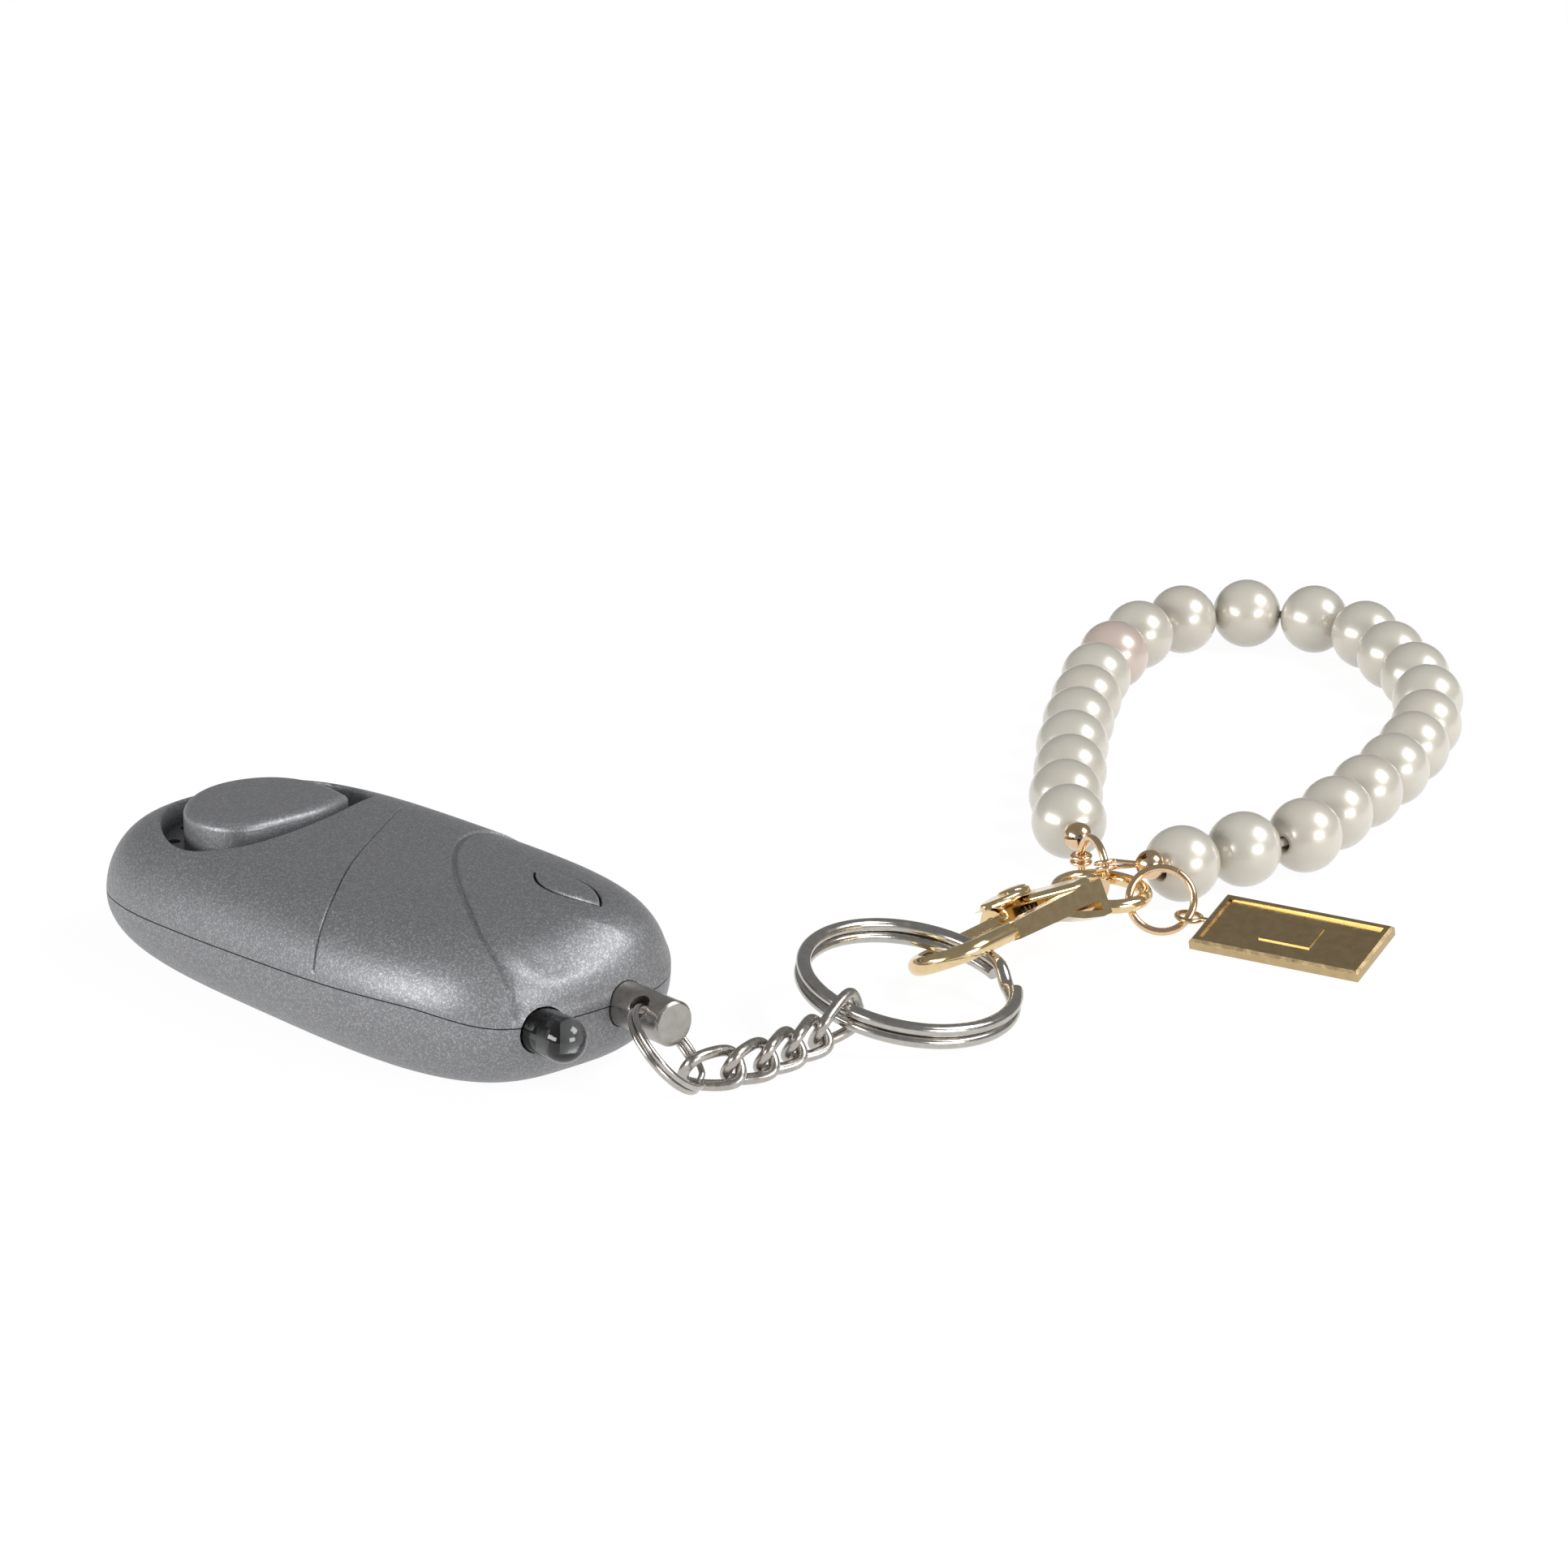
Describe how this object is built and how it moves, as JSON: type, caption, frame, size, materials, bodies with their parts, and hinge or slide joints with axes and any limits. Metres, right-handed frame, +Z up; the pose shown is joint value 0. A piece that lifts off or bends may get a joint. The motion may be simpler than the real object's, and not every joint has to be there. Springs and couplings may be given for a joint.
{
  "type": "personal safety alarm",
  "caption": "Pocket alarm with a pull pin, a torch lamp and a button; its pin is chained to a key ring, a snap hook, a flat charm and a bead strand.",
  "frame": {"origin": "middle of the casing's flat underside, on the table", "axes": "+X along the casing towards the pull pin, +Y across it towards the chain and the strand, +Z up"},
  "size_m": [0.1052, 0.1887, 0.0183],
  "materials": {
    "silver_casing": "silver metallic paint with fine spark grain",
    "silver_leaf": "silver metallic paint, a little smoother than the casing",
    "clear_lamp": "clear moulded epoxy",
    "lamp_leads": "tinned",
    "nickel_pin": "turned steel, nickel plated",
    "nickel_chain": "dull nickel plate",
    "nickel_ring": "polished nickel plate",
    "pale_gold": "bright pale gold plate on a zinc casting",
    "rose_gold": "bright copper-gold plate",
    "charm_gold": "bright pale gold plate",
    "spring_steel": "drawn wire",
    "pearl": "cream pearl coat",
    "pearl_pink": "pinkish pearl coat",
    "cord": "twisted thread",
    "board": "green solder mask",
    "black_plastic": "moulded, fine matt",
    "ferrite": "matt sintered ferrite with its winding",
    "contact_metal": "tin plated spring sheet",
    "cell_steel": "nickel plated can",
    "disc_brass": "bright rolled brass",
    "ceramic": "silvered ceramic",
    "wire_red": "insulated lead"
  },
  "bodies": {
    "alarm": {"lower_casing": "silver_casing", "upper_casing": "silver_casing", "siren_cover": "silver_leaf", "sound_chamber": "black_plastic", "siren_disc": "disc_brass", "siren_ceramic": "ceramic", "torch_switch": "black_plastic", "torch_led": "clear_lamp", "led_leads": "lamp_leads", "circuit_board": "board", "step_up_coil": "ferrite", "control_chip": "black_plastic", "pin_contacts": "contact_metal", "button_cells": "cell_steel", "cell_contacts": "contact_metal", "case_screws": "cell_steel", "siren_wires": "wire_red"},
    "button": {"torch_button": "silver_leaf"},
    "pin": {"pull_pin": "nickel_pin"},
    "pin_ring": {"pin_ring": "nickel_chain"},
    "link_1": {"chain_link_1": "nickel_chain"},
    "link_2": {"chain_link_2": "nickel_chain"},
    "link_3": {"chain_link_3": "nickel_chain"},
    "link_4": {"chain_link_4": "nickel_chain"},
    "link_5": {"chain_link_5": "nickel_chain"},
    "key_ring": {"key_ring": "nickel_ring"},
    "hook": {"hook_body": "pale_gold", "bolt_spring": "spring_steel"},
    "bolt": {"hook_bolt": "pale_gold"},
    "swivel": {"swivel_eye": "pale_gold"},
    "strand_ring": {"strand_ring": "rose_gold"},
    "strand": {"calotte_left": "rose_gold", "calotte_right": "rose_gold", "strand_cord": "cord", "pearl_01": "pearl", "pearl_02": "pearl", "pearl_03": "pearl", "pearl_04": "pearl", "pearl_05": "pearl", "pearl_06": "pearl", "pearl_07": "pearl", "pearl_08": "pearl_pink", "pearl_09": "pearl", "pearl_10": "pearl", "pearl_11": "pearl", "pearl_12": "pearl", "pearl_13": "pearl", "pearl_14": "pearl", "pearl_15": "pearl", "pearl_16": "pearl", "pearl_17": "pearl", "pearl_18": "pearl", "pearl_19": "pearl", "pearl_20": "pearl", "pearl_21": "pearl", "pearl_22": "pearl", "pearl_23": "pearl", "pearl_24": "pearl"},
    "charm_ring": {"charm_ring": "rose_gold"},
    "charm": {"charm_bar": "charm_gold"}
  },
  "joints": [
    {"name": "button_press", "type": "slide", "parent": "alarm", "child": "button", "axis": [0, 0, -1], "range_m": [0, 0.0005], "stiffness_N_per_m": 1500, "springref_m": -0.001},
    {"name": "pin_pull", "type": "slide", "parent": "alarm", "child": "pin", "axis": [1, 0, 0], "range_m": [0, 0.014]},
    {"name": "pin_ring_swing", "type": "hinge", "parent": "pin", "child": "pin_ring", "pos_m": [0.0411, 0.0042, 0.0085], "axis": [0, -0.788, 0.6157], "range_deg": [-6, 6]},
    {"name": "link_1_swing", "type": "hinge", "parent": "pin_ring", "child": "link_1", "pos_m": [0.04602, 0.00631, 0.0028], "axis": [0.8258, -0.4677, -0.3152], "range_deg": [-8, 8]},
    {"name": "link_2_swing", "type": "hinge", "parent": "link_1", "child": "link_2", "pos_m": [0.0473, 0.01077, 0.0029], "axis": [-0.6511, 0.2474, 0.7175], "range_deg": [-10, 10]},
    {"name": "link_3_swing", "type": "hinge", "parent": "link_2", "child": "link_3", "pos_m": [0.04745, 0.0151, 0.00289], "axis": [0.6924, -0.0567, -0.7193], "range_deg": [-10, 10]},
    {"name": "link_4_swing", "type": "hinge", "parent": "link_3", "child": "link_4", "pos_m": [0.04671, 0.01949, 0.0029], "axis": [-0.6883, -0.0939, 0.7193], "range_deg": [-10, 10]},
    {"name": "link_5_swing", "type": "hinge", "parent": "link_4", "child": "link_5", "pos_m": [0.04587, 0.02389, 0.00296], "axis": [0.682, 0.1322, -0.7193], "range_deg": [-10, 10]},
    {"name": "key_ring_swing", "type": "hinge", "parent": "link_5", "child": "key_ring", "pos_m": [0.04537, 0.02907, 0.00453], "axis": [-0.0417, -0.2639, 0.9636], "range_deg": [-10, 10]},
    {"name": "hook_swing", "type": "hinge", "parent": "key_ring", "child": "hook", "pos_m": [0.03959, 0.04965, 0.00445], "axis": [0.2006, 0.044, 0.9787], "range_deg": [-8, 8]},
    {"name": "bolt_draw", "type": "slide", "parent": "hook", "child": "bolt", "axis": [-0.1814, 0.9832, 0.0215], "range_m": [0, 0.0022], "stiffness_N_per_m": 400, "springref_m": -0.002, "deforming": ["bolt_spring"]},
    {"name": "swivel_turn", "type": "hinge", "parent": "hook", "child": "swivel", "pos_m": [0.03625, 0.0688, 0.0048], "axis": [-0.1814, 0.9832, 0.0215], "continuous": true},
    {"name": "strand_ring_swing", "type": "hinge", "parent": "swivel", "child": "strand_ring", "pos_m": [0.0321, 0.0779, 0.004], "axis": [0.6894, 0.7244, 0], "range_deg": [-8, 8]},
    {"name": "strand_swing", "type": "hinge", "parent": "strand_ring", "child": "strand", "pos_m": [0.02712, 0.07967, 0.0043], "axis": [0.9181, -0.3321, 0.2164], "range_deg": [-6, 6]},
    {"name": "charm_ring_swing", "type": "hinge", "parent": "swivel", "child": "charm_ring", "pos_m": [0.04046, 0.07683, 0.004], "axis": [-0.6521, 0.7581, 0], "range_deg": [-8, 8]},
    {"name": "charm_swing", "type": "hinge", "parent": "charm_ring", "child": "charm", "pos_m": [0.04456, 0.07985, 0.00208], "axis": [0.0285, 0.6781, 0.7345], "range_deg": [-10, 10]}
  ]
}
